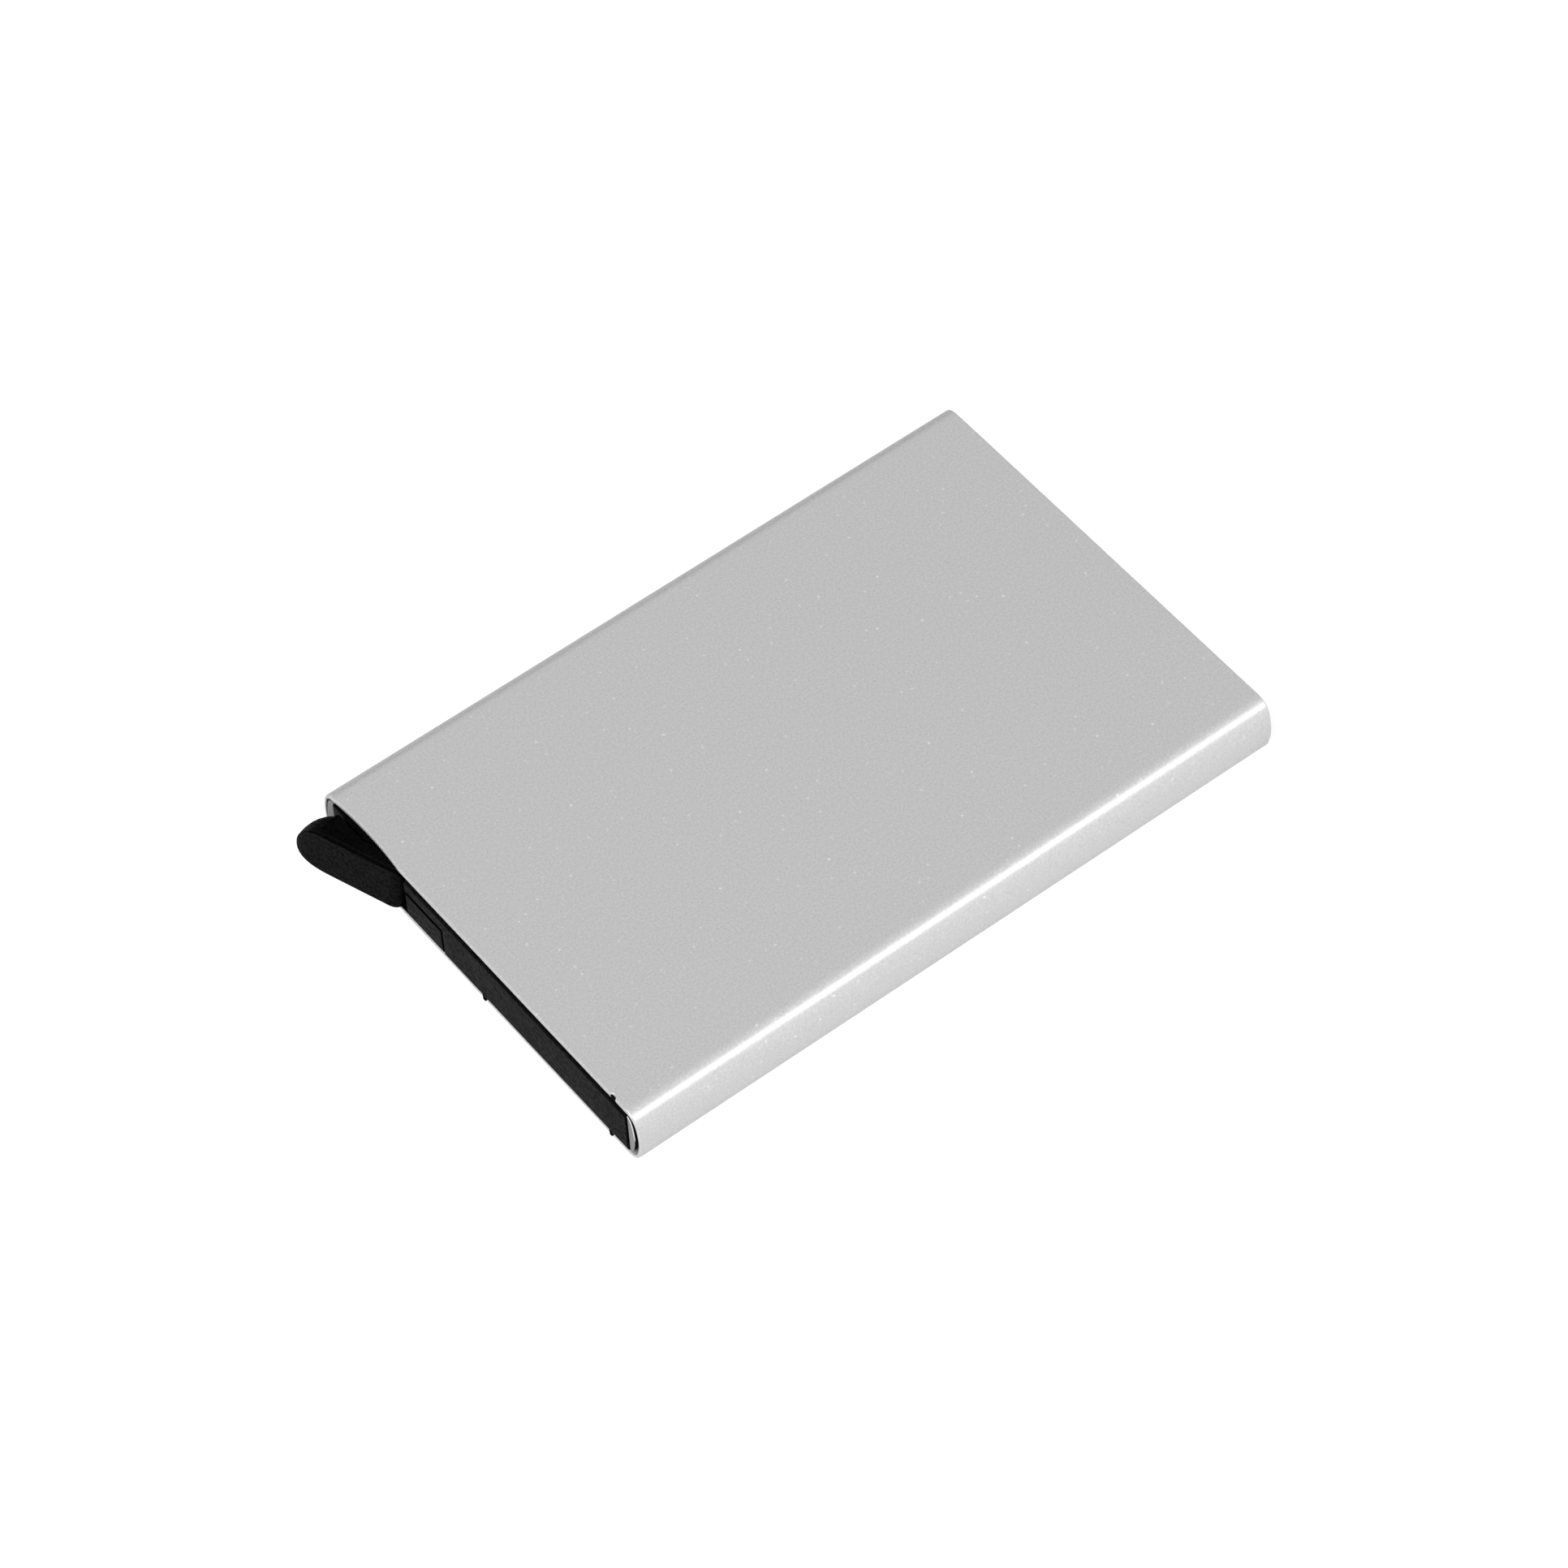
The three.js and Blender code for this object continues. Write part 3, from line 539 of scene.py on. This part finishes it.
noise.seed_set(FELT_SEED)
for side, inward in (("left", -1), ("right", 1)):
    low, high = (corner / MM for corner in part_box("felt_strip_" + side))
    half_size = (high - low) / 2
    bm = bmesh.new()
    bmesh.ops.create_cube(bm, size=1)
    bmesh.ops.scale(bm, vec=high - low, verts=bm.verts)
    bmesh.ops.translate(bm, vec=(low + high) / 2, verts=bm.verts)
    middle_y = (low.y + high.y) / 2
    glued_y = high.y if inward < 0 else low.y
    open_edges = [
        edge for edge in bm.edges
        if all((vert.co.y - middle_y) * inward > 0 for vert in edge.verts)
    ]
    round_edges(bm, open_edges, FELT_EDGE, FELT_EDGE_STEPS)
    long_edges = [
        edge for edge in bm.edges
        if abs(edge.verts[0].co.x - edge.verts[1].co.x) > half_size.x
    ]
    bmesh.ops.subdivide_edges(bm, edges=long_edges, cuts=FELT_CUTS_LONG, use_grid_fill=True)
    tall_edges = [
        edge for edge in bm.edges
        if abs(edge.verts[0].co.z - edge.verts[1].co.z) > half_size.z
    ]
    bmesh.ops.subdivide_edges(bm, edges=tall_edges, cuts=FELT_CUTS_HIGH, use_grid_fill=True)
    for vert in bm.verts:
        if abs(vert.co.y - glued_y) > FELT_GLUED:
            push = noise.noise_vector(vert.co / FELT_LUMP_SIZE) * FELT_LUMP
            vert.co += push - Vector((0, inward * FELT_LUMP, 0))
    strip = place("felt_" + side, bm, felt, FELT_SMOOTH_ANGLE)
    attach(strip, "case")
    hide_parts("felt_strip_" + side)

# End cap and bearing block: two black ABS mouldings that plug the lever end of the sleeve.
# Little half-round nibs on them snap into notches of the sleeve's edge and hold them there.

MOULDED_ANGLE = 50
CAP_EDGE = 0.04
CAP_SHORTEST = 0.6

# The grain of such a mould is about 0.1 mm. It is drawn coarser, so that it shows.
MOULD_GRAIN = 0.45
MOULD_CLOUD = 5.0
MOULD_DEPTH = 0.14
MOULD_STRENGTH = 1.0
BLACK_TONES = ((NOISE_LOW, "#030303"), (NOISE_HIGH, "#060606"))
BLACK_ROUGH_LEAST = 0.44
BLACK_ROUGH_MOST = 0.50
POLISH_LOW = 0.33
POLISH_HIGH = 0.67
POLISH_LEAST = 0.015
POLISH_MOST = 0.09
ABS_IOR = 1.45

# Black ABS, moulded with a fine grain: deep black, its shine broken into dull little points.
black, tree = new_material("black_abs_moulded")
at = node(tree, "TexCoord").outputs["Object"]
grain = node(
    tree, "TexNoise",
    {"Vector": at, "Scale": per_mm(MOULD_GRAIN), "Detail": 3.0, "Roughness": 0.6},
)
cloud = node(tree, "TexNoise", {"Vector": at, "Scale": per_mm(MOULD_CLOUD), "Detail": 2.0})
tone = node(tree, "ValToRGB", {"Fac": cloud.outputs["Fac"]})
for stop, (level, colour) in zip(tone.color_ramp.elements, BLACK_TONES):
    stop.position = level
    stop.color = linear(colour)
satin = node(
    tree, "MapRange",
    {
        "Value": cloud.outputs["Fac"], "From Min": NOISE_LOW, "From Max": NOISE_HIGH,
        "To Min": BLACK_ROUGH_LEAST, "To Max": BLACK_ROUGH_MOST,
    },
)
polish = node(
    tree, "MapRange",
    {
        "Value": grain.outputs["Fac"], "From Min": POLISH_LOW, "From Max": POLISH_HIGH,
        "To Min": POLISH_LEAST, "To Max": POLISH_MOST,
    },
)
relief = node(
    tree, "Bump",
    {"Height": grain.outputs["Fac"], "Strength": MOULD_STRENGTH, "Distance": MOULD_DEPTH * MM},
)
plastic = node(
    tree, "BsdfPrincipled",
    {
        "Base Color": tone.outputs["Color"], "Roughness": satin.outputs[0], "IOR": ABS_IOR,
        "Specular IOR Level": polish.outputs[0], "Normal": relief.outputs[0],
    },
)
node(tree, "OutputMaterial", {"Surface": plastic.outputs[0]})

for cad_name, name in (("end_cap", "cap"), ("pivot_block", "bearing_block")):
    bm = solid_of(cad_name)
    round_edges(bm, sharp_edges(bm, MOULDED_ANGLE, CAP_SHORTEST), CAP_EDGE, 1)
    moulding = place(name, bm, black)
    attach(moulding, "case")
    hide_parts(cad_name)

# Lever pin and return spring: a ground steel pin in the bearing block's two ears, and a coil of
# # steel wire round it. The wire's lower leg stands in the lever's hub and its upper leg in the
# # block; in the real case the coil twists as the lever turns, but this one is drawn in one fixed
# shape.

PIN_SIDES = 32
PIN_ANGLE = 60
PIN_EDGE = 0.15
PIN_EDGE_STEPS = 3
WIRE_RADIUS = 0.2
WIRE_SIDES = 12
WIRE_SMOOTH_ANGLE = 60
COIL_RADIUS = 1.75
COIL_TURNS = 2.75
COIL_LOW = 4.5
COIL_PITCH = 0.86
COIL_STEPS = 24
LEG_BEND = 0.4
LEG_BEND_STEPS = 6
LEG_LENGTH = 0.9

# The marks of grinding and of the wire die are about 0.02 mm. They are made coarser, so that
# they show.
STEEL_GRAIN = 0.12
STEEL_TONES = ((NOISE_LOW, "#8e9092"), (NOISE_HIGH, "#b9bbbd"))
STEEL_ROUGH_LEAST = 0.2
STEEL_ROUGH_MOST = 0.4

# Bare spring steel, drawn and ground: a cool grey metal, bright with small duller marks.
steel, tree = new_material("spring_steel_drawn")
at = node(tree, "TexCoord").outputs["Object"]
drawn = node(tree, "TexNoise", {"Vector": at, "Scale": per_mm(STEEL_GRAIN), "Detail": 2.0})
tone = node(tree, "ValToRGB", {"Fac": drawn.outputs["Fac"]})
for stop, (level, colour) in zip(tone.color_ramp.elements, STEEL_TONES):
    stop.position = level
    stop.color = linear(colour)
satin = node(
    tree, "MapRange",
    {"Value": drawn.outputs["Fac"], "To Min": STEEL_ROUGH_LEAST, "To Max": STEEL_ROUGH_MOST},
)
bare = node(
    tree, "BsdfPrincipled",
    {"Base Color": tone.outputs["Color"], "Metallic": 1.0, "Roughness": satin.outputs[0]},
)
node(tree, "OutputMaterial", {"Surface": bare.outputs[0]})

pin_low, pin_high = (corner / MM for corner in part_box("lever_pin"))
pin_radius = (pin_high.x - pin_low.x) / 2
pivot = (pin_low + pin_high) / 2
bm = bmesh.new()
bmesh.ops.create_cone(
    bm, cap_ends=True, segments=PIN_SIDES, radius1=pin_radius, radius2=pin_radius,
    depth=pin_high.z - pin_low.z,
)
bmesh.ops.translate(bm, vec=pivot, verts=bm.verts)
round_edges(bm, sharp_edges(bm, PIN_ANGLE), PIN_EDGE, PIN_EDGE_STEPS)
pin = place("pin", bm, steel)
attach(pin, "case")
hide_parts("lever_pin")


def lengthen(bm, ring, rise):
    """Draws the wire's open end straight up."""
    made = bmesh.ops.extrude_edge_only(bm, edges=ring)
    ends = [item for item in made["geom"] if isinstance(item, bmesh.types.BMVert)]
    bmesh.ops.translate(bm, vec=(0, 0, rise), verts=ends)
    edges = [item for item in made["geom"] if isinstance(item, bmesh.types.BMEdge)]
    return [edge for edge in edges if edge.is_boundary]


def bend(bm, ring, centre, axis, angle, steps, rise=0.0):
    """Bends the wire's open end round an axis."""
    made = bmesh.ops.spin(
        bm, geom=ring, cent=centre, axis=axis, dvec=(0, 0, rise / steps), angle=angle,
        steps=steps, use_merge=False, use_duplicate=False,
    )
    return [item for item in made["geom_last"] if isinstance(item, bmesh.types.BMEdge)]


start_turn = math.atan2(LEG_BEND, COIL_RADIUS)
coil_turn = 2 * math.pi * COIL_TURNS - 2 * start_turn
end_turn = 2 * math.pi * COIL_TURNS - start_turn
coil_rise = COIL_PITCH * COIL_TURNS
coil_steps = round(COIL_STEPS * COIL_TURNS)
bm = bmesh.new()
bmesh.ops.create_circle(bm, cap_ends=False, segments=WIRE_SIDES, radius=WIRE_RADIUS)
bmesh.ops.translate(bm, vec=(COIL_RADIUS, 0, COIL_LOW - LEG_LENGTH), verts=bm.verts)
tip = lengthen(bm, bm.edges[:], LEG_LENGTH - LEG_BEND)
low_corner = (COIL_RADIUS, LEG_BEND, COIL_LOW - LEG_BEND)
tip = bend(bm, tip, low_corner, (-1, 0, 0), math.pi / 2, LEG_BEND_STEPS)
tip = bend(bm, tip, (0, 0, 0), (0, 0, 1), coil_turn, coil_steps, coil_rise)
top_end = sum((vert.co for edge in tip for vert in edge.verts), Vector()) / (2 * WIRE_SIDES)
high_corner = top_end + Vector((0, 0, LEG_BEND))
outward = Vector((math.cos(end_turn), math.sin(end_turn), 0))
tip = bend(bm, tip, high_corner, outward, math.pi / 2, LEG_BEND_STEPS)
lengthen(bm, tip, LEG_LENGTH - LEG_BEND)
bmesh.ops.remove_doubles(bm, verts=bm.verts, dist=SEAM_GAP)
open_ends = [edge for edge in bm.edges if edge.is_boundary]
bmesh.ops.holes_fill(bm, edges=open_ends, sides=WIRE_SIDES)
bmesh.ops.recalc_face_normals(bm, faces=bm.faces)
bmesh.ops.translate(bm, vec=(pivot.x, pivot.y, 0), verts=bm.verts)
spring = place("spring", bm, steel, WIRE_SMOOTH_ANGLE)
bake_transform(spring)
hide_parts("return_spring")

# Lever: one black ABS moulding with its thumb pad outside, its tongue in the cap's face and its
# stepped arm inside. Its hub turns on the steel pin, and the six steps of the arm push the
# cards out in a fan.

LEVER_EDGE = 0.05
LEVER_EDGE_STEPS = 2
LEVER_SHORTEST = 0.3
LEVER_SMOOTH_ANGLE = 40

bm = solid_of("eject_lever")
lever_edges = sharp_edges(bm, MOULDED_ANGLE, LEVER_SHORTEST)
round_edges(bm, lever_edges, LEVER_EDGE, LEVER_EDGE_STEPS)
lever = place("lever", bm, black, LEVER_SMOOTH_ANGLE)
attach(lever, "lever")
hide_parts("eject_lever")

# Studio: a plain white table, a soft lamp at the near side, a broad one above and pale walls.
# The camera stands where the photograph was taken from, worked out from the case's outline.
# All of it is in metres, but for the table's drop below the case.

TABLE_DROP = 0.05
TABLE_HALF = 4.0
TABLE_WHITE = "#cecece"
TABLE_GLOW_SEEN = 0.7
TABLE_GLOW_MIRRORED = 0.155
FULL_WHITE = (1, 1, 1, 1)
LAMPS = (  # each lamp's name, place, width, height and power
    ("softbox", (0.30, -0.71, 0.65), 0.58, 0.54, 2.45),
    ("ceiling", (-1.55, -0.35, 1.94), 1.6, 1.6, 46.5),
)
ROOM_FAR_WAY = (0.0, 1.0, 0.0)
ROOM_LEVELS = ((0.10, 0.66), (0.30, 0.57), (0.44, 0.31), (0.57, 0.12))  # near wall to far wall
ROOM_SEEN = 1.0
NUMBER_A, NUMBER_B = 2, 3  # the sockets for numbers of a Mix node
CAMERA_PLACE = (-0.268951, -0.377203, 0.604567)
CAMERA_RIGHT = (0.7886576, -0.6138163, -0.0353371)
CAMERA_UP = (0.5042541, 0.6128632, 0.6083803)
CAMERA_BACK = (-0.3517769, -0.4976226, 0.7928586)
CAMERA_FOCAL_PIXELS = 7763.04
CAMERA_NEAREST = 0.01
CAMERA_FARTHEST = 50
PHOTO_PIXELS = 1932
SENSOR_WIDTH = 36.0

# Matt white board: it keeps the case's shadow, and its own glow makes it white to the camera
# and pale in what the metal mirrors, with no more light on the case.
white, tree = new_material("white_board_matt")
seen = node(tree, "LightPath")
mirrored = node(
    tree, "Math", {0: seen.outputs["Is Glossy Ray"], 1: seen.outputs["Is Transmission Ray"]},
    operation="MAXIMUM",
)
mirrored = node(
    tree, "Math", {0: mirrored.outputs[0], 1: TABLE_GLOW_MIRRORED}, operation="MULTIPLY",
)
strength = node(
    tree, "Math",
    {0: seen.outputs["Is Camera Ray"], 1: TABLE_GLOW_SEEN, 2: mirrored.outputs[0]},
    operation="MULTIPLY_ADD",
)
matt = node(tree, "BsdfDiffuse", {"Color": linear(TABLE_WHITE)})
glow = node(tree, "Emission", {"Color": FULL_WHITE, "Strength": strength.outputs[0]})
lit = node(tree, "AddShader", {0: matt.outputs[0], 1: glow.outputs[0]})
node(tree, "OutputMaterial", {"Surface": lit.outputs[0]})

bm = bmesh.new()
bmesh.ops.create_grid(bm, x_segments=1, y_segments=1, size=TABLE_HALF)
bmesh.ops.translate(bm, vec=(0, 0, -TABLE_DROP * MM), verts=bm.verts)
mesh = bpy.data.meshes.new("table")
bm.to_mesh(mesh)
bm.free()
mesh.materials.append(white)
table = bpy.data.objects.new("table", mesh)
bpy.context.scene.collection.objects.link(table)

for name, spot, wide, high, power in LAMPS:
    light = bpy.data.lights.new(name, "AREA")
    light.shape = "RECTANGLE"
    light.size = wide
    light.size_y = high
    light.energy = power
    lamp = bpy.data.objects.new(name, light)
    bpy.context.scene.collection.objects.link(lamp)
    lamp.location = spot
    lamp.rotation_mode = "QUATERNION"
    lamp.rotation_quaternion = Vector(spot).to_track_quat("Z", "Y")

# Pale walls: white to the camera, and dimmer on the case from the near side to the far one.
sky = bpy.data.worlds.new("studio_walls")
bpy.context.scene.world = sky
sky.use_nodes = True
tree = sky.node_tree
tree.nodes.clear()
seen = node(tree, "LightPath")
way = node(tree, "TexCoord").outputs["Generated"]
toward = node(tree, "VectorMath", {0: way, 1: ROOM_FAR_WAY}, operation="DOT_PRODUCT")
share = node(
    tree, "MapRange", {"Value": toward.outputs["Value"], "From Min": -1.0, "From Max": 1.0},
)
wall = node(tree, "ValToRGB", {"Fac": share.outputs[0]})
while len(wall.color_ramp.elements) < len(ROOM_LEVELS):
    wall.color_ramp.elements.new(1.0)
for stop, (level, value) in zip(wall.color_ramp.elements, ROOM_LEVELS):
    stop.position = level
    stop.color = (value, value, value, 1)
brightness = node(
    tree, "Mix",
    {0: seen.outputs["Is Camera Ray"], NUMBER_A: wall.outputs[0], NUMBER_B: ROOM_SEEN},
    data_type="FLOAT",
)
air = node(tree, "Background", {"Color": FULL_WHITE, "Strength": brightness.outputs[0]})
node(tree, "OutputWorld", {"Surface": air.outputs[0]})

lens = bpy.data.cameras.new("camera")
lens.sensor_width = SENSOR_WIDTH
lens.lens = CAMERA_FOCAL_PIXELS * SENSOR_WIDTH / PHOTO_PIXELS
lens.clip_start = CAMERA_NEAREST
lens.clip_end = CAMERA_FARTHEST
camera = bpy.data.objects.new("camera", lens)
bpy.context.scene.collection.objects.link(camera)
turn = Matrix((CAMERA_RIGHT, CAMERA_UP, CAMERA_BACK)).transposed().to_4x4()
camera.matrix_world = Matrix.Translation(CAMERA_PLACE) @ turn
bpy.context.scene.camera = camera

bpy.context.scene.view_settings.view_transform = "Standard"
